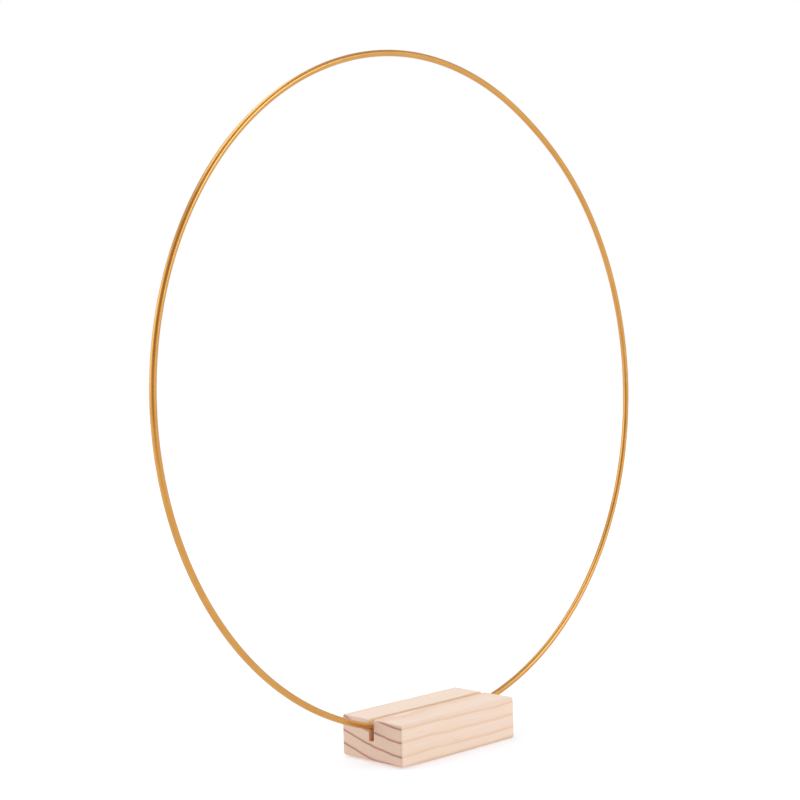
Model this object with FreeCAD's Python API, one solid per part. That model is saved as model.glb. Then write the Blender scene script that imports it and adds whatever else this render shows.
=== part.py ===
"""Standing wreath frame: a round wire hoop held upright in the saw kerf of a small pine block.

Millimetres. +Z is up, X runs along the kerf and Y across it. The origin is the centre of the
block's bottom face, which rests on the table.
"""
import FreeCAD, Part
import os

V = FreeCAD.Vector

# --- hoop: one length of round wire, bent to a ring and butt-welded -----------------------------
HOOP_OUTER_DIA = 304.8      # a 12 inch hoop, measured over the wire
WIRE_DIA = 2.9
HOOP_OFFSET_X = 3.0         # the hoop stands this far along the kerf from the block's middle
REST_GAP = 0.05             # between the wire and the kerf floor

# --- block: a short length of pine batten, sanded on every edge ---------------------------------
BLOCK_LENGTH = 74.0
BLOCK_WIDTH = 37.0
BLOCK_HEIGHT = 19.0
EDGE_RADIUS = 1.3

# --- kerf: one saw cut along the middle of the top, open at both ends ---------------------------
KERF_CLEARANCE = 0.05       # on each side of the wire, so that the hoop stands upright by itself
KERF_WIDTH = WIRE_DIA + 2 * KERF_CLEARANCE
KERF_DEPTH = 9.5            # half the block's height
KERF_CORNER_RADIUS = 0.4    # worn saw teeth leave the floor's corners slightly round
KERF_OVERRUN = 5.0          # how far the cutting solid runs past the block


def make_hoop():
    """The wire ring, standing in the XZ plane with its lowest point just above the kerf floor."""
    wire_radius = WIRE_DIA / 2.0
    ring_radius = HOOP_OUTER_DIA / 2.0 - wire_radius
    kerf_floor_z = BLOCK_HEIGHT - KERF_DEPTH
    centre_z = kerf_floor_z + REST_GAP + HOOP_OUTER_DIA / 2.0
    centre = V(HOOP_OFFSET_X, 0, centre_z)
    return Part.makeTorus(ring_radius, wire_radius, centre, V(0, 1, 0))


def make_kerf_cutter():
    """The solid the saw takes out: a slab along X with its two lower edges rounded."""
    length = BLOCK_LENGTH + 2 * KERF_OVERRUN
    height = KERF_DEPTH + KERF_OVERRUN
    floor_z = BLOCK_HEIGHT - KERF_DEPTH
    corner = V(-length / 2.0, -KERF_WIDTH / 2.0, floor_z)
    slab = Part.makeBox(length, KERF_WIDTH, height, corner)
    lower_edges = [
        edge for edge in slab.Edges
        if abs(edge.BoundBox.ZMax - floor_z) < 1e-6 and edge.BoundBox.XLength > BLOCK_LENGTH
    ]
    return slab.makeFillet(KERF_CORNER_RADIUS, lower_edges)


def make_base_block():
    """The pine block, rounded on all twelve edges and then sawn, so the kerf's mouth stays crisp."""
    corner = V(-BLOCK_LENGTH / 2.0, -BLOCK_WIDTH / 2.0, 0)
    block = Part.makeBox(BLOCK_LENGTH, BLOCK_WIDTH, BLOCK_HEIGHT, corner)
    block = block.makeFillet(EDGE_RADIUS, block.Edges)
    return block.cut(make_kerf_cutter())


def main():
    os.makedirs("parts", exist_ok=True)
    nodes = {
        "hoop": make_hoop(),
        "base_block": make_base_block(),
    }
    for name, shape in nodes.items():
        shape.exportStep("parts/" + name + ".step")
        box = shape.optimalBoundingBox(False)
        print(name, "solids", len(shape.Solids), "valid", shape.isValid(),
              "z", round(box.ZMin, 3), round(box.ZMax, 3), "volume", round(shape.Volume, 1))


main()
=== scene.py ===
"""Standing wreath frame: a gold wire hoop in the saw kerf of a pine block. Metres, in the CAD row frame."""

import math
import bmesh
import bpy
from mathutils import Matrix, Vector, noise
from mathutils.geometry import delaunay_2d_cdt


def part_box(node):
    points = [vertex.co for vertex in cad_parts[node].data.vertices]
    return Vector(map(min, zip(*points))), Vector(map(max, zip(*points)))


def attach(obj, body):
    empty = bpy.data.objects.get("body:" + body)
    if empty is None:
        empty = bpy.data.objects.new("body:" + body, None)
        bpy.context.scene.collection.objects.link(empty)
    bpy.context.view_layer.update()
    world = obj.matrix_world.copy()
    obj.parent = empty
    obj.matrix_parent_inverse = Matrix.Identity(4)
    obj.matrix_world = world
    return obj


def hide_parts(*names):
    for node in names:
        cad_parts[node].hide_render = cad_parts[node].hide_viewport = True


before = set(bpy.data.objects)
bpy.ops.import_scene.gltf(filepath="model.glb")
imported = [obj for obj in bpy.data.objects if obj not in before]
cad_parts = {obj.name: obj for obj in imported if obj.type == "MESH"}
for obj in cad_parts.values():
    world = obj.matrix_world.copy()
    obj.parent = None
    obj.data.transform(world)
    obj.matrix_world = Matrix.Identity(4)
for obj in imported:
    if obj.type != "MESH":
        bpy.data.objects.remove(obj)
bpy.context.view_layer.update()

MM = 0.001
TAU = 2.0 * math.pi

# --- camera: stands in front of the left end of the block, level with the middle of the hoop --------
CAMERA_PLACE = Vector((-0.4894, -0.4709, 0.1674))
CAMERA_YAW = math.radians(45.26)
CAMERA_PITCH = math.radians(-0.846)
CAMERA_ROLL = math.radians(-1.381)
CAMERA_LENS = 67.72
SENSOR_WIDTH = 36.0

# --- hoop ------------------------------------------------------------------------------------------
HOOP_LOW, HOOP_HIGH = (Vector(corner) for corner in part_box("hoop"))
WIRE_RADIUS = (HOOP_HIGH.y - HOOP_LOW.y) / 2.0
RING_RADIUS = (HOOP_HIGH.z - HOOP_LOW.z) / 2.0 - WIRE_RADIUS
HOOP_SAG = 1.1 * MM             # the flat at the weld lets the hoop sit this much lower
HOOP_CENTRE = Vector((
    (HOOP_LOW.x + HOOP_HIGH.x) / 2.0,
    (HOOP_LOW.y + HOOP_HIGH.y) / 2.0,
    (HOOP_LOW.z + HOOP_HIGH.z) / 2.0 - HOOP_SAG,
))
WELD_ANGLE = 270.0              # degrees round the hoop from +X, so at the bottom, in the kerf
# Where the wire left the bending rolls out of round: (angle, height of the swelling, half width in degrees).
HOOP_SWELLINGS = (
    (WELD_ANGLE, -HOOP_SAG, 24.0),
    (93.0, 0.5 * MM, 18.0),
    (57.0, -0.65 * MM, 11.0),
    (335.0, 0.35 * MM, 22.0),
)
HOOP_STATIONS = 900
WIRE_SIDES = 36
WELD_HALF_WIDTH = 0.55          # degrees
WELD_BEAD = 0.035 * MM          # what is left of the weld bead after dressing
WIRE_WOBBLE = 0.012 * MM
WOBBLE_SCALE = 40.0             # per metre
HOOP_SWAY = 0.12 * MM           # the ring waves this far to either side of its plane
SWAY_PHASE = 0.7                # radians
SWAY_FREE_OF_WELD = 30.0        # degrees; nearer the weld the ring lies in its plane, in the kerf

# --- block -----------------------------------------------------------------------------------------
BLOCK_LOW, BLOCK_HIGH = (Vector(corner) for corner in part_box("base_block"))
HALF_LENGTH = (BLOCK_HIGH.x - BLOCK_LOW.x) / 2.0
HALF_WIDTH = (BLOCK_HIGH.y - BLOCK_LOW.y) / 2.0
HEIGHT = BLOCK_HIGH.z - BLOCK_LOW.z
EDGE_RADIUS = 1.3 * MM
KERF_HALF_WIDTH = 1.5 * MM
KERF_FLOOR = 9.5 * MM
KERF_CORNER_RADIUS = 0.4 * MM
MOUTH_RADIUS = 0.22 * MM
SANDED_RISE = 0.7 * MM          # the bottom has been sanded up this much at the left end
SANDED_LENGTH = 30.0 * MM
SKIN_HOLLOW = 0.02 * MM         # sanding leaves the faces this uneven
EDGE_SEEDS = (3.0, 13.0, 23.0, 33.0)    # lower back, upper back, upper front, lower front
MOUTH_SEEDS = (0.0, 9.0)                # back, front
LEFT_END_SEED = 51.0
RIGHT_END_SEED = 71.0
# How many faces each stretch of the block's outline is cut into.
BOTTOM_STEPS = 12               # each half
SIDE_STEPS = 14
TOP_STEPS = 14                  # each half
EDGE_STEPS = 8
MOUTH_STEPS = 5
KERF_WALL_STEPS = 12
KERF_FLOOR_STEPS = 4
KERF_CORNER_STEPS = 4
# How many loops of vertices lie along it.
MOUTH_LOOPS = 5                 # at each end, over the rounding of the kerf's mouth
EDGE_LOOPS = (0.2, 0.28, 0.37, 0.47, 0.58, 0.7, 0.84, 1.0)     # at each end, in edge radii from it
MIDDLE_LOOPS = 140
# The mesh of triangles that fills an end face.
CAP_STEP = 0.9 * MM
CAP_MARGIN = 0.5 * MM           # kept clear of the outline
CAP_SHIFT = 0.2                 # how far its points stray, in steps
CAP_DIP = 0.03 * MM             # how deep the sanded end grain dips

# --- studio: softboxes of cool daylight, and the unlit part of the room -------------------------------
# (name, place, width, height, radiance, colour); each one faces the hoop's middle
SOFTBOXES = (
    ("key_right", (0.366, -0.779, 0.563), 0.29, 0.64, 2.6, (0.79, 1.0, 1.36)),
    ("high_back", (0.14, 0.60, 1.07), 0.42, 0.42, 1.6, (0.86, 1.0, 1.36)),
    ("left_back", (-0.87, 0.59, 0.48), 0.65, 0.62, 1.4, (0.92, 1.0, 1.26)),
    ("overhead", (-0.18, 0.07, 0.735), 0.36, 0.36, 1.75, (0.86, 1.0, 1.32)),
)
SKY_AT_ZENITH = 0.75            # the white surround is this bright overhead, and 1 at the horizon
FLOOR_GLOW_NEAR = 0.40
FLOOR_GLOW_FAR = 0.53
SHELL_DISTANCE = 0.95
SHELL_ROWS = 8
SHELL_TONE = (0.44, 0.34, 0.25, 1.0)
SHELL_EDGES = (     # (azimuth, lower and upper elevation)
    (110.0, 40.0, 58.0), (130.0, 42.0, 62.0), (150.0, 44.0, 62.0), (170.0, 42.0, 60.0), (188.0, 34.0, 58.0),
    (200.0, 8.0, 56.0), (208.0, -8.0, 54.0), (225.0, -10.0, 52.0), (240.0, -8.0, 50.0), (256.0, -4.0, 44.0),
)

# --- growth rings: the block was cut far out in a big, fast-grown log -------------------------------
PITH_Y = -30.4 * MM
PITH_Z = 165.0 * MM
RING_PITCH = 5.8 * MM
RING_START = 160.7 * MM         # one latewood line lies at this distance from the pith
GRAIN_WAVE = 0.45 * MM          # the grain rises and falls this much along the block
GRAIN_WAVE_LENGTH = 75.0 * MM
RING_FLATTENING = 1.2 * MM      # the last ring runs nearly level towards the lower front edge


# =====================================================================================================
# Small helpers
# =====================================================================================================
def wave_noise(*place):
    """Smooth noise from -1 to 1 at a place given in any units."""
    coords = tuple(place) + (0.0,) * (3 - len(place))
    return noise.noise(Vector(coords))


def new_piece(name, bm, material):
    """A smooth-shaded mesh object made from a bmesh, in the row frame."""
    mesh = bpy.data.meshes.new(name)
    bm.to_mesh(mesh)
    bm.free()
    for face in mesh.polygons:
        face.use_smooth = True
    mesh.materials.append(material)
    piece = bpy.data.objects.new(name, mesh)
    bpy.context.collection.objects.link(piece)
    return piece


class Nodes:
    """Builds a node tree with short calls."""

    def __init__(self, tree):
        self.tree = tree
        tree.nodes.clear()

    def add(self, kind, inputs=None, **settings):
        node = self.tree.nodes.new(kind)
        for key, value in settings.items():
            setattr(node, key, value)
        for key, value in (inputs or {}).items():
            self.feed(node.inputs[key], value)
        return node

    def feed(self, socket, value):
        """Links a socket to another socket, or sets its default value."""
        if isinstance(value, bpy.types.NodeSocket):
            self.tree.links.new(value, socket)
        else:
            socket.default_value = value

    def math(self, operation, a, b=0.0):
        node = self.add("ShaderNodeMath", operation=operation)
        for socket, value in zip(node.inputs, (a, b)):
            self.feed(socket, value)
        return node.outputs[0]

    def remap(self, value, low, high, to_low=0.0, to_high=1.0, smooth=False):
        node = self.add("ShaderNodeMapRange", clamp=True)
        node.interpolation_type = "SMOOTHSTEP" if smooth else "LINEAR"
        for key, item in zip(("Value", "From Min", "From Max", "To Min", "To Max"),
                             (value, low, high, to_low, to_high)):
            self.feed(node.inputs[key], item)
        return node.outputs["Result"]

    def noise(self, vector, scale, detail=2.0, roughness=0.5):
        node = self.add("ShaderNodeTexNoise", {"Vector": vector, "Scale": scale, "Detail": detail,
                                               "Roughness": roughness})
        return node.outputs["Fac"]

    def scaled(self, vector, factors):
        node = self.add("ShaderNodeVectorMath", {0: vector, 1: factors}, operation="MULTIPLY")
        return node.outputs["Vector"]

    def join(self, x, y, z):
        return self.add("ShaderNodeCombineXYZ", {"X": x, "Y": y, "Z": z}).outputs["Vector"]

    def mix(self, factor, a, b):
        node = self.add("ShaderNodeMix", data_type="RGBA", blend_type="MIX")
        node.clamp_factor = True
        self.feed(node.inputs["Factor"], factor)
        self.feed(node.inputs["A"], a)
        self.feed(node.inputs["B"], b)
        return node.outputs["Result"]

    def bump(self, height, distance, strength=1.0, normal=None):
        node = self.add("ShaderNodeBump", {"Strength": strength, "Distance": distance, "Height": height})
        if normal is not None:
            self.feed(node.inputs["Normal"], normal)
        return node.outputs["Normal"]


def srgb(red, green, blue):
    """A colour written as 0 to 255 display values, as the linear values that a shader takes."""
    def linear(value):
        value /= 255.0
        return value / 12.92 if value <= 0.04045 else ((value + 0.055) / 1.055) ** 2.4
    return (linear(red), linear(green), linear(blue), 1.0)


def new_material(name):
    material = bpy.data.materials.new(name)
    material.use_nodes = True
    return material, Nodes(material.node_tree)


# =====================================================================================================
# Materials
# =====================================================================================================
GOLD, GOLD_PALE = srgb(205, 147, 70), srgb(213, 158, 82)
GOLD_STREAK = srgb(189, 130, 56)
GOLD_AT_WELD = srgb(186, 122, 52)

PINE, PINE_ROSY = srgb(244, 221, 195), srgb(246, 221, 201)
PINE_STREAK = srgb(241, 209, 182)
PINE_FIBRE = srgb(234, 202, 175)
PINE_DEEP = srgb(237, 199, 163)             # late in each year's growth
PINE_LINE = srgb(224, 176, 138)             # the latewood line, seen from the side
END_PALE, END_DARK = srgb(224, 196, 173), srgb(210, 179, 154)
END_RAY = srgb(234, 208, 184)
END_DEEP = srgb(214, 164, 146)
END_LINE, END_LINE_RUDDY = srgb(146, 110, 86), srgb(172, 108, 92)
RESIN = srgb(176, 122, 84)
# painted shade for the bottom edges
BOTTOM_PAINTED_SHADE = srgb(200, 166, 140)
# painted light near the kerf's mouth, and painted shade, in patches, deeper in it
KERF_MOUTH_PAINTED_LIGHT = srgb(254, 228, 194)
KERF_PAINTED_SHADE_LIGHTER, KERF_PAINTED_SHADE_DARKER = srgb(246, 196, 150), srgb(232, 172, 124)


def gold_material():
    """Satin gold plating on drawn wire: fine lines along the wire and a little orange peel."""
    material, n = new_material("gold_plating")
    place = n.add("ShaderNodeTexCoord").outputs["Object"]
    xyz = n.add("ShaderNodeSeparateXYZ", {"Vector": place})
    x = n.math("SUBTRACT", xyz.outputs["X"], HOOP_CENTRE.x)
    z = n.math("SUBTRACT", xyz.outputs["Z"], HOOP_CENTRE.z)
    angle = n.math("ARCTAN2", x, z)
    along = n.math("MULTIPLY", angle, RING_RADIUS)
    radius = n.math("SQRT", n.math("ADD", n.math("MULTIPLY", x, x), n.math("MULTIPLY", z, z)))
    across = n.math("SUBTRACT", radius, RING_RADIUS)
    wire_place = n.join(along, across, xyz.outputs["Y"])

    streaks = n.noise(n.scaled(wire_place, (25.0, 4200.0, 4200.0)), 1.0, detail=3.0, roughness=0.6)
    patches = n.noise(n.scaled(wire_place, (90.0, 300.0, 300.0)), 1.0, detail=3.0, roughness=0.55)
    peel = n.noise(place, 1500.0, detail=2.0)
    fine = n.noise(place, 6000.0, detail=1.0)

    tone = n.mix(n.remap(patches, 0.3, 0.7), GOLD, GOLD_PALE)
    tone = n.mix(n.remap(streaks, 0.35, 0.75, 0.0, 0.35), tone, GOLD_STREAK)
    rough = n.remap(streaks, 0.25, 0.8, 0.24, 0.34)
    rough = n.math("ADD", rough, n.remap(patches, 0.3, 0.75, -0.02, 0.05))

    # At the weld the plating lies on filed metal, so it is a little darker and duller.
    from_top = n.math("ABSOLUTE", angle)
    ragged = n.remap(peel, 0.3, 0.7, -0.003, 0.003)
    weld = n.remap(n.math("ADD", from_top, ragged), math.pi - 0.016, math.pi - 0.005, smooth=True)
    tone = n.mix(n.math("MULTIPLY", weld, 0.5), tone, GOLD_AT_WELD)
    rough = n.math("ADD", rough, n.math("MULTIPLY", weld, 0.06))

    normal = n.bump(streaks, 0.02 * MM, 0.35)
    normal = n.bump(peel, 0.05 * MM, 0.12, normal)
    normal = n.bump(fine, 0.01 * MM, 0.15, normal)
    shader = n.add("ShaderNodeBsdfPrincipled", {
        "Base Color": tone, "Metallic": 1.0, "Roughness": rough, "Normal": normal,
        "Specular Tint": (0.76, 0.84, 1.0, 1.0), "Coat Weight": 0.3, "Coat Roughness": 0.22,
    })
    n.add("ShaderNodeOutputMaterial", {"Surface": shader.outputs["BSDF"]})
    return material


def pine_material():
    """Sanded, unfinished pine, coloured by growth rings that run right through the block."""
    material, n = new_material("sanded_pine")
    coords = n.add("ShaderNodeTexCoord")
    place = coords.outputs["Object"]
    xyz = n.add("ShaderNodeSeparateXYZ", {"Vector": place})
    x, y, z = (xyz.outputs[axis] for axis in "XYZ")
    facing = n.add("ShaderNodeSeparateXYZ", {"Vector": coords.outputs["Normal"]})
    end_grain = n.remap(n.math("ABSOLUTE", facing.outputs["X"]), 0.35, 0.9, smooth=True)

    # Distance from the pith, bent by slow waves along the log and small ones across it.
    along = n.math("MULTIPLY", n.math("ADD", x, HALF_LENGTH), TAU / GRAIN_WAVE_LENGTH)
    wave = n.math("MULTIPLY", n.math("SINE", along), GRAIN_WAVE)
    slow = n.noise(n.scaled(place, (45.0, 60.0, 60.0)), 1.0, detail=1.5)
    small = n.noise(n.scaled(place, (40.0, 260.0, 260.0)), 1.0, detail=2.0)
    y_off = n.math("SUBTRACT", y, PITH_Y)
    z_off = n.math("SUBTRACT", z, PITH_Z)
    distance = n.math("SQRT", n.math("ADD", n.math("MULTIPLY", y_off, y_off),
                                     n.math("MULTIPLY", z_off, z_off)))
    bend = n.math("ADD", n.remap(slow, 0.0, 1.0, -0.9 * MM, 0.9 * MM),
                  n.remap(small, 0.0, 1.0, -0.25 * MM, 0.25 * MM))
    bend = n.math("ADD", bend, wave)
    lower_front = n.math("MULTIPLY", n.remap(y, 3.0 * MM, -15.0 * MM, smooth=True),
                         n.remap(z, 5.0 * MM, 2.0 * MM, smooth=True))
    bend = n.math("ADD", bend, n.math("MULTIPLY", lower_front, RING_FLATTENING))
    years = n.math("DIVIDE", n.math("SUBTRACT", n.math("ADD", distance, bend), RING_START), RING_PITCH)
    phase = n.math("FRACT", years)

    # Earlywood is pale; the tone deepens over the last part of a year and ends sharply at the line.
    deepening = n.math("MULTIPLY", n.remap(phase, 0.55, 0.94, smooth=True),
                       n.remap(phase, 0.975, 1.0, 1.0, 0.0))
    line = n.math("MULTIPLY", n.remap(phase, 0.76, 0.89, smooth=True),
                  n.remap(phase, 0.965, 1.0, 1.0, 0.0, smooth=True))

    fibres = n.noise(n.scaled(place, (70.0, 3800.0, 3800.0)), 1.0, detail=3.0, roughness=0.6)
    streaks = n.noise(n.scaled(place, (22.0, 700.0, 700.0)), 1.0, detail=3.0, roughness=0.55)
    cells = n.noise(n.scaled(place, (400.0, 5200.0, 5200.0)), 1.0, detail=2.0)
    round_pith = n.math("MULTIPLY", n.math("ARCTAN2", y_off, z_off), RING_START)
    rays = n.noise(n.scaled(n.join(x, round_pith, distance), (300.0, 4500.0, 260.0)), 1.0, detail=2.0)
    mottling = n.noise(place, 60.0, detail=2.0)

    # Resin canals: rare dark threads along the grain, dots on the ends.
    canal_place = n.scaled(place, (45.0, 900.0, 900.0))
    canals = n.add("ShaderNodeTexVoronoi", {"Vector": canal_place, "Scale": 1.0, "Randomness": 1.0})
    canal = n.remap(canals.outputs["Distance"], 0.06, 0.14, 1.0, 0.0, smooth=True)
    chosen = n.add("ShaderNodeSeparateColor", {"Color": canals.outputs["Color"]})
    canal = n.math("MULTIPLY", canal, n.remap(chosen.outputs["Red"], 0.78, 0.82))

    pale = n.mix(n.remap(mottling, 0.3, 0.7), PINE, PINE_ROSY)
    pale = n.mix(n.remap(streaks, 0.35, 0.75, 0.0, 0.5), pale, PINE_STREAK)
    pale = n.mix(n.remap(fibres, 0.35, 0.8, 0.0, 0.3), pale, PINE_FIBRE)
    depth = n.remap(n.noise(n.scaled(place, (60.0, 90.0, 90.0)), 1.0, detail=2.0), 0.35, 0.65, 0.5, 1.0)
    side = n.mix(n.math("MULTIPLY", deepening, 0.50), pale, PINE_DEEP)
    side = n.mix(n.math("MULTIPLY", n.math("MULTIPLY", line, depth), 0.28), side, PINE_LINE)

    end_pale = n.mix(n.remap(cells, 0.3, 0.75), END_PALE, END_DARK)
    end_pale = n.mix(n.remap(rays, 0.5, 0.75, 0.0, 0.35), end_pale, END_RAY)
    end_side = n.mix(n.math("MULTIPLY", deepening, 0.25), end_pale, END_DEEP)
    ruddy = n.remap(n.noise(n.scaled(place, (60.0, 70.0, 120.0)), 1.0, detail=1.0), 0.4, 0.6)
    line_tone = n.mix(ruddy, END_LINE, END_LINE_RUDDY)
    end_line = n.math("MULTIPLY", line, n.remap(cells, 0.3, 0.7, 0.9, 0.72))
    end_side = n.mix(end_line, end_side, line_tone)
    colour = n.mix(end_grain, side, end_side)
    colour = n.mix(n.math("MULTIPLY", canal, 0.35), colour, RESIN)

    # Painted shade: the bottom edges are darkened, a painted shadow on the rounded edges where they meet the
    # table.
    uneven_z = n.math("ADD", z, n.remap(small, 0.3, 0.7, -0.2 * MM, 0.2 * MM))
    low = n.remap(uneven_z, 0.5 * MM, 2.0 * MM, 1.0, 0.0)
    colour = n.mix(n.math("MULTIPLY", low, 0.4), colour, BOTTOM_PAINTED_SHADE)

    # Inside the kerf the saw left a fuzzy wall. Its colour is painted light and shade: lighter than the pine
    # near the mouth, a painted light, and darker lower down in random patches, a painted shade.
    in_width = n.remap(n.math("ABSOLUTE", y),
                       KERF_HALF_WIDTH + 0.02 * MM, KERF_HALF_WIDTH + 0.2 * MM, 1.0, 0.0)
    below = n.remap(z, HEIGHT - 0.5 * MM, HEIGHT - 0.1 * MM, 1.0, 0.0)
    above = n.remap(z, KERF_FLOOR - 0.3 * MM, KERF_FLOOR - 0.05 * MM)
    inside = n.math("MULTIPLY", in_width, n.math("MULTIPLY", below, above))
    inside = n.math("MULTIPLY", inside, n.remap(n.math("ABSOLUTE", facing.outputs["X"]), 0.4, 0.8, 1.0, 0.0))
    kerf_shade_patches = n.noise(n.scaled(place, (260.0, 200.0, 60.0)), 1.0, detail=3.0)
    deep = n.remap(z, HEIGHT - 2.0 * MM, HEIGHT - 6.0 * MM)
    kerf_painted_shade = n.mix(n.remap(kerf_shade_patches, 0.35, 0.7), KERF_PAINTED_SHADE_LIGHTER, KERF_PAINTED_SHADE_DARKER)
    kerf_painted_light_and_shade = n.mix(deep, KERF_MOUTH_PAINTED_LIGHT, kerf_painted_shade)
    colour = n.mix(n.math("MULTIPLY", inside, 0.85), colour, kerf_painted_light_and_shade)

    rough = n.remap(fibres, 0.2, 0.8, 0.52, 0.68)
    rough = n.math("ADD", rough, n.math("MULTIPLY", end_grain, 0.1))
    rough = n.math("ADD", rough, n.math("MULTIPLY", inside, 0.15))

    grain_height = n.math("ADD", n.math("MULTIPLY", fibres, 0.5), n.math("MULTIPLY", line, 0.8))
    grain_height = n.math("SUBTRACT", grain_height, n.math("MULTIPLY", canal, 0.8))
    saw_marks = n.noise(n.scaled(place, (1400.0, 1.0, 90.0)), 1.0, detail=2.0)
    normal = n.bump(grain_height, 0.05 * MM, 0.5)
    normal = n.bump(n.math("MULTIPLY", saw_marks, inside), 0.12 * MM, 0.8, normal)
    normal = n.bump(n.math("MULTIPLY", cells, end_grain), 0.04 * MM, 0.6, normal)
    shader = n.add("ShaderNodeBsdfPrincipled", {
        "Base Color": colour, "Roughness": rough, "Normal": normal, "Specular IOR Level": 0.5,
    })
    n.add("ShaderNodeOutputMaterial", {"Surface": shader.outputs["BSDF"]})
    return material


# =====================================================================================================
# Hoop
# =====================================================================================================
def swelling(degrees, middle, height, half_width):
    """A smooth rise round one place on the hoop."""
    apart = (degrees - middle + 180.0) % 360.0 - 180.0
    return height * math.exp(-(apart / half_width) ** 2)


def hoop_station(angle):
    """Centre of the wire and its radius at an angle round the hoop, in radians from +X."""
    degrees = math.degrees(angle)
    radius = RING_RADIUS + sum(swelling(degrees, *bump) for bump in HOOP_SWELLINGS)
    away_from_weld = 1.0 - swelling(degrees, WELD_ANGLE, 1.0, SWAY_FREE_OF_WELD)
    sideways = HOOP_SWAY * math.sin(2.0 * angle + SWAY_PHASE) * away_from_weld
    centre = HOOP_CENTRE + Vector((radius * math.cos(angle), sideways, radius * math.sin(angle)))
    thickness = WIRE_RADIUS + swelling(degrees, WELD_ANGLE, WELD_BEAD, WELD_HALF_WIDTH)
    return centre, thickness


def make_hoop(material):
    """A closed tube swept round the slightly uneven ring, with the dressed weld at the bottom."""
    bm = bmesh.new()
    rings = []
    for i in range(HOOP_STATIONS):
        angle = TAU * i / HOOP_STATIONS
        centre, thickness = hoop_station(angle)
        outward = Vector((math.cos(angle), 0.0, math.sin(angle)))
        ring = []
        for j in range(WIRE_SIDES):
            turn = TAU * j / WIRE_SIDES
            direction = outward * math.cos(turn) + Vector((0.0, 1.0, 0.0)) * math.sin(turn)
            place = centre * WOBBLE_SCALE
            uneven = WIRE_WOBBLE * wave_noise(place.x + turn, place.y, place.z)
            ring.append(bm.verts.new(centre + direction * (thickness - WIRE_WOBBLE + uneven)))
        rings.append(ring)
    for i in range(HOOP_STATIONS):
        here, there = rings[i], rings[(i + 1) % HOOP_STATIONS]
        for j in range(WIRE_SIDES):
            k = (j + 1) % WIRE_SIDES
            bm.faces.new((here[j], here[k], there[k], there[j]))
    bmesh.ops.recalc_face_normals(bm, faces=bm.faces)
    return new_piece("hoop_wire", bm, material)


# =====================================================================================================
# Block
# =====================================================================================================
def arc(centre, radius, start, end, steps):
    """Points and outward directions on an arc in the YZ plane, both ends included.

    The angles are in degrees from +Y.
    """
    points = []
    for i in range(steps + 1):
        angle = math.radians(start + (end - start) * i / steps)
        direction = (math.cos(angle), math.sin(angle))
        points.append((centre[0] + radius * direction[0], centre[1] + radius * direction[1], direction))
    return points


def straight(start, end, steps, direction):
    """Points strictly between two ends of a straight run."""
    points = []
    for i in range(1, steps):
        t = i / steps
        y = start[0] + (end[0] - start[0]) * t
        z = start[1] + (end[1] - start[1]) * t
        points.append((y, z, direction))
    return points


def long_edge_radius(x, seed):
    """Hand sanding takes a little more off here and less there."""
    slow = 0.14 * wave_noise(x / (9.0 * MM), seed)
    quick = 0.05 * wave_noise(x / (2.5 * MM), seed + 7)
    return EDGE_RADIUS * (1.06 + slow + quick)


def rounding(radius, from_end):
    """How far a rounded edge has pulled in at a distance from the end it leads to."""
    if from_end >= radius:
        return 0.0
    return radius - math.sqrt(max(0.0, radius ** 2 - (radius - from_end) ** 2))


def end_radius(y, z, end_seed):
    """Radius of the rounding between an end face and the long faces, at a place round the outline."""
    return EDGE_RADIUS * (0.94 + 0.10 * wave_noise(y / (7.0 * MM), z / (7.0 * MM), end_seed))


def mouth_radius(x, seed):
    """The kerf's upper edges are slightly broken, with small chips."""
    slow = wave_noise(x / (1.7 * MM), 31.0 + seed)
    chips = max(0.0, wave_noise(x / (0.6 * MM), 47.0 + seed))
    return MOUTH_RADIUS * (1.0 + 0.4 * slow + 0.45 * chips)


def mouth_edge(centre, radius, start, end):
    """The broken upper edge of a kerf wall, whose directions point only across the kerf."""
    points = arc(centre, radius, start, end, MOUTH_STEPS)
    return [(y, z, (across, 0.0)) for y, z, (across, _) in points]


def kerf_corner(centre, start, end):
    """A rounded inner corner of the kerf, whose wood lies on the outside of the arc."""
    points = arc(centre, KERF_CORNER_RADIUS, start, end, KERF_CORNER_STEPS)
    return [(y, z, (-across, -up)) for y, z, (across, up) in points]


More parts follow.
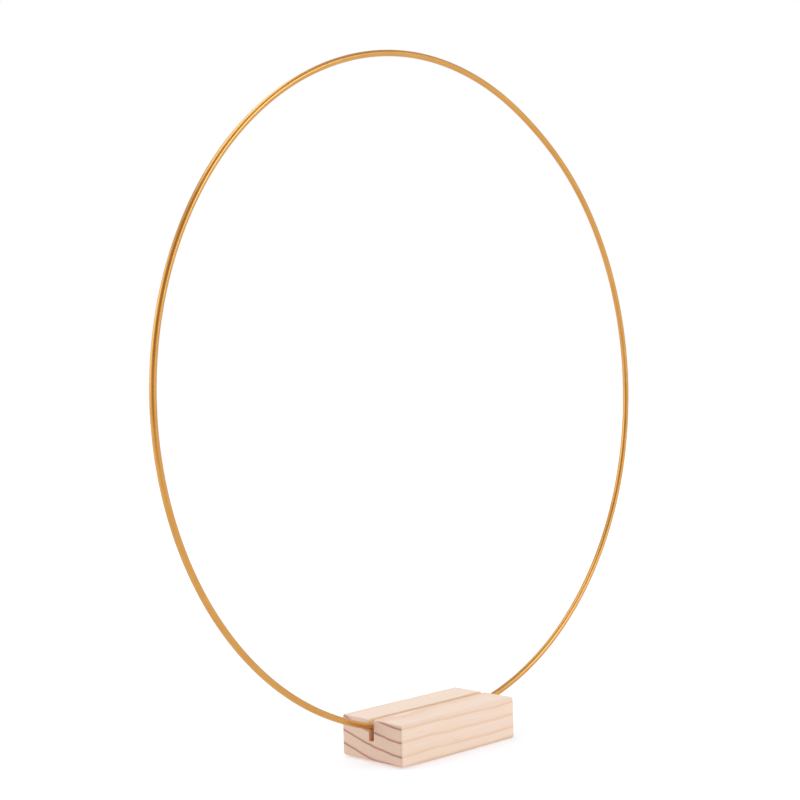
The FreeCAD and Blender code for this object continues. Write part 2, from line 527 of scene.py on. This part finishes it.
def block_section(x, from_end, end_seed):
    """The block's outline at one place along it, in order round it from the middle of the bottom.

    Each point is (y, z, outward direction, is it the sanded skin).
    """
    back_mouth, front_mouth = (mouth_radius(x, seed) for seed in MOUTH_SEEDS)
    back_top, front_top = (
        HEIGHT - rounding(end_radius(sign * KERF_HALF_WIDTH, HEIGHT, end_seed), from_end)
        for sign in (1, -1)
    )
    low_back, high_back, high_front, low_front = (long_edge_radius(x, seed) for seed in EDGE_SEEDS)
    side, wall = HALF_WIDTH, KERF_HALF_WIDTH
    inset = KERF_HALF_WIDTH - KERF_CORNER_RADIUS
    corner_z = KERF_FLOOR + KERF_CORNER_RADIUS
    up, down, back, front = (0.0, 1.0), (0.0, -1.0), (1.0, 0.0), (-1.0, 0.0)
    outline = []

    def skin(points):
        outline.extend((y, z, direction, True) for y, z, direction in points)

    def sawn(points):
        outline.extend((y, z, direction, False) for y, z, direction in points)

    skin([(0.0, 0.0, down)])
    skin(straight((0.0, 0.0), (side - low_back, 0.0), BOTTOM_STEPS, down))
    skin(arc((side - low_back, low_back), low_back, -90, 0, EDGE_STEPS))
    skin(straight((side, low_back), (side, HEIGHT - high_back), SIDE_STEPS, back))
    skin(arc((side - high_back, HEIGHT - high_back), high_back, 0, 90, EDGE_STEPS))
    skin(straight((side - high_back, HEIGHT), (wall + back_mouth, HEIGHT), TOP_STEPS, up))
    sawn(mouth_edge((wall + back_mouth, back_top - back_mouth), back_mouth, 90, 180))
    sawn(straight((wall, back_top - back_mouth), (wall, corner_z), KERF_WALL_STEPS, front))
    sawn(kerf_corner((inset, corner_z), 0, -90))
    sawn(straight((inset, KERF_FLOOR), (-inset, KERF_FLOOR), KERF_FLOOR_STEPS, up))
    sawn(kerf_corner((-inset, corner_z), -90, -180))
    sawn(straight((-wall, corner_z), (-wall, front_top - front_mouth), KERF_WALL_STEPS, back))
    sawn(mouth_edge((-wall - front_mouth, front_top - front_mouth), front_mouth, 0, 90))
    skin(straight((-wall - front_mouth, HEIGHT), (-side + high_front, HEIGHT), TOP_STEPS, up))
    skin(arc((-side + high_front, HEIGHT - high_front), high_front, 90, 180, EDGE_STEPS))
    skin(straight((-side, HEIGHT - high_front), (-side, low_front), SIDE_STEPS, front))
    skin(arc((-side + low_front, low_front), low_front, 180, 270, EDGE_STEPS))
    skin(straight((-side + low_front, 0.0), (0.0, 0.0), BOTTOM_STEPS, down))
    return outline


def block_stations():
    """Places along the block, close together where the ends round off."""
    turn = 90.0 / MOUTH_LOOPS
    near_end = [MOUTH_RADIUS * (1.0 - math.sin(math.radians(90.0 - turn * i))) for i in range(MOUTH_LOOPS)]
    near_end += [EDGE_RADIUS * share for share in EDGE_LOOPS]
    start = near_end[-1]
    run = 2.0 * HALF_LENGTH - 2.0 * start
    middle = [start + run * i / MIDDLE_LOOPS for i in range(1, MIDDLE_LOOPS)]
    far_end = [2.0 * HALF_LENGTH - t for t in reversed(near_end)]
    return near_end + middle + far_end


def sanded_rise(from_left):
    """How much the bottom has been sanded up near the left end."""
    near = max(0.0, 1.0 - from_left / SANDED_LENGTH)
    return SANDED_RISE * near ** 2


def block_loop(from_left):
    """The places of one loop of vertices round the block."""
    x = -HALF_LENGTH + from_left
    from_end = min(from_left, 2.0 * HALF_LENGTH - from_left)
    end_seed = LEFT_END_SEED if from_left < HALF_LENGTH else RIGHT_END_SEED
    loop = []
    for y, z, (across, up), is_skin in block_section(x, from_end, end_seed):
        if is_skin:
            pull = rounding(end_radius(y, z, end_seed), from_end)
            if up != -1.0:      # the flat bottom isn't hollowed
                pull += SKIN_HOLLOW * (1.0 + wave_noise(x / (11.0 * MM), y / (8.0 * MM), z / (8.0 * MM)))
        else:
            pull = rounding(MOUTH_RADIUS, from_end)
        z += sanded_rise(from_left) * max(0.0, 1.0 - z / KERF_FLOOR)
        loop.append(Vector((x, y - across * pull, BLOCK_LOW.z + z - up * pull)))
    return loop


def end_cap(bm, loop, verts):
    """Fills an end face with a mesh of even triangles, a little uneven as sanded end grain is."""
    outline = [(place.y, place.z) for place in loop]
    count = len(outline)
    x = loop[0].x
    inward = -1.0 if x > 0.0 else 1.0
    points = [Vector(point) for point in outline]
    for i in range(int(2.0 * HALF_WIDTH / CAP_STEP)):
        for j in range(int(HEIGHT / CAP_STEP)):
            y = -HALF_WIDTH + (i + 0.5 + CAP_SHIFT * wave_noise(i * 1.7, j * 1.3, 3.0)) * CAP_STEP
            z = (j + 0.5 + CAP_SHIFT * wave_noise(i * 1.3, j * 1.7, 9.0)) * CAP_STEP
            clear_of_skin = min(HALF_WIDTH - abs(y), z, HEIGHT - z) > EDGE_RADIUS + CAP_MARGIN
            beside_kerf = abs(y) > KERF_HALF_WIDTH + MOUTH_RADIUS + CAP_MARGIN
            under_kerf = z < KERF_FLOOR - MOUTH_RADIUS - CAP_MARGIN
            if clear_of_skin and (beside_kerf or under_kerf):
                points.append(Vector((y, z)))
    edges = [(i, (i + 1) % count) for i in range(count)]
    filled = delaunay_2d_cdt(points, edges, [], 1, 1e-7)
    places, triangles, origins = filled[0], filled[2], filled[3]
    corners = []
    for place, origin in zip(places, origins):
        on_outline = [i for i in origin if i < count]
        if on_outline:
            corners.append(verts[on_outline[0]])
        else:
            grain = wave_noise(place.x / (3.0 * MM), place.y / (1.5 * MM), x * 50.0)
            dip = CAP_DIP * (0.5 + 0.5 * grain)
            corners.append(bm.verts.new((x + inward * dip, place.x, place.y)))
    for triangle in triangles:
        bm.faces.new([corners[i] for i in triangle])


def make_block(material):
    """The pine block: unevenly sanded edges, a sawn kerf with a slightly broken mouth, flat ends."""
    bm = bmesh.new()
    places = [block_loop(from_left) for from_left in block_stations()]
    loops = [[bm.verts.new(place) for place in loop] for loop in places]
    for here, there in zip(loops, loops[1:]):
        for j in range(len(here)):
            k = (j + 1) % len(here)
            bm.faces.new((here[j], there[j], there[k], here[k]))
    end_cap(bm, places[0], loops[0])
    end_cap(bm, places[-1], loops[-1])
    bmesh.ops.recalc_face_normals(bm, faces=bm.faces)
    return new_piece("pine_block", bm, material)


# =====================================================================================================
# Studio
# =====================================================================================================
def make_floor():
    """A plain white light table that glows a little less near the middle, where the studio lights fall."""
    material, n = new_material("white_table")
    place = n.add("ShaderNodeTexCoord").outputs["Object"]
    from_middle = n.add("ShaderNodeVectorMath", {0: place}, operation="LENGTH").outputs["Value"]
    glow = n.remap(from_middle, 0.1, 0.9, FLOOR_GLOW_NEAR, FLOOR_GLOW_FAR, smooth=True)
    shader = n.add("ShaderNodeBsdfPrincipled", {
        "Base Color": (0.66, 0.66, 0.66, 1.0), "Roughness": 0.9, "Specular IOR Level": 0.0,
        "Emission Color": (1.0, 1.0, 1.0, 1.0), "Emission Strength": glow,
    })
    n.add("ShaderNodeOutputMaterial", {"Surface": shader.outputs["BSDF"]})
    bm = bmesh.new()
    bmesh.ops.create_grid(bm, x_segments=8, y_segments=8, size=6.0)
    floor = new_piece("floor", bm, material)


def aim(obj, place, target):
    obj.location = place
    obj.rotation_euler = (Vector(target) - Vector(place)).to_track_quat("-Z", "Y").to_euler()


def make_softbox(name, place, target, width, height):
    light = bpy.data.lights.new(name, "AREA")
    light.shape = "RECTANGLE"
    light.size = width
    light.size_y = height
    box = bpy.data.objects.new(name, light)
    box.visible_camera = False
    bpy.context.collection.objects.link(box)
    aim(box, place, target)
    return box


def toward(azimuth, elevation, distance):
    """A place seen from the hoop's middle at an azimuth (0 is +Y, 90 is +X) and elevation, in degrees."""
    az, el = math.radians(azimuth), math.radians(elevation)
    direction = Vector((math.sin(az) * math.cos(el), math.cos(az) * math.cos(el), math.sin(el)))
    return HOOP_CENTRE + direction * distance


def make_dark_shell():
    """The unlit part of the studio, round behind the camera: it shows in reflections and as less light."""
    material, n = new_material("unlit_studio")
    shader = n.add("ShaderNodeBsdfDiffuse", {"Color": SHELL_TONE})
    n.add("ShaderNodeOutputMaterial", {"Surface": shader.outputs["BSDF"]})
    bm = bmesh.new()
    columns = []
    for azimuth, low, high in SHELL_EDGES:
        elevations = [low + (high - low) * j / SHELL_ROWS for j in range(SHELL_ROWS + 1)]
        columns.append([bm.verts.new(toward(azimuth, up, SHELL_DISTANCE)) for up in elevations])
    for here, there in zip(columns, columns[1:]):
        for j in range(SHELL_ROWS):
            bm.faces.new((here[j], there[j], there[j + 1], here[j + 1]))
    shell = new_piece("unlit_studio", bm, material)
    shell.visible_camera = False


def light_studio():
    world = bpy.data.worlds.new("studio")
    bpy.context.scene.world = world
    world.use_nodes = True
    n = Nodes(world.node_tree)
    direction = n.add("ShaderNodeTexCoord").outputs["Generated"]
    up = n.add("ShaderNodeSeparateXYZ", {"Vector": direction}).outputs["Z"]
    strength = n.remap(up, 0.35, 0.85, 1.0, SKY_AT_ZENITH, smooth=True)
    sky = n.add("ShaderNodeBackground", {"Color": (1.0, 1.0, 1.0, 1.0), "Strength": strength})
    n.add("ShaderNodeOutputWorld", {"Surface": sky.outputs["Background"]})
    for name, place, width, height, radiance, colour in SOFTBOXES:
        box = make_softbox(name, place, HOOP_CENTRE, width, height)
        box.data.energy = radiance * math.pi * width * height
        box.data.color = colour
    make_dark_shell()


def place_camera():
    data = bpy.data.cameras.new("camera")
    data.lens = CAMERA_LENS
    data.sensor_width = SENSOR_WIDTH
    data.clip_start = 0.01
    data.clip_end = 50.0
    forward = Vector((math.sin(CAMERA_YAW) * math.cos(CAMERA_PITCH),
                      math.cos(CAMERA_YAW) * math.cos(CAMERA_PITCH),
                      math.sin(CAMERA_PITCH)))
    level_right = forward.cross(Vector((0.0, 0.0, 1.0))).normalized()
    level_up = level_right.cross(forward)
    right = level_right * math.cos(CAMERA_ROLL) + level_up * math.sin(CAMERA_ROLL)
    up = level_up * math.cos(CAMERA_ROLL) - level_right * math.sin(CAMERA_ROLL)
    turn = Matrix((right, up, -forward)).transposed()
    camera = bpy.data.objects.new("camera", data)
    camera.matrix_world = Matrix.Translation(CAMERA_PLACE) @ turn.to_4x4()
    bpy.context.collection.objects.link(camera)
    bpy.context.scene.camera = camera


# =====================================================================================================
# Scene
# =====================================================================================================
place_camera()
bpy.context.scene.view_settings.view_transform = "Standard"
light_studio()
make_floor()

hoop = make_hoop(gold_material())
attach(hoop, "ring")
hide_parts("hoop")

block = make_block(pine_material())
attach(block, "base")
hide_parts("base_block")
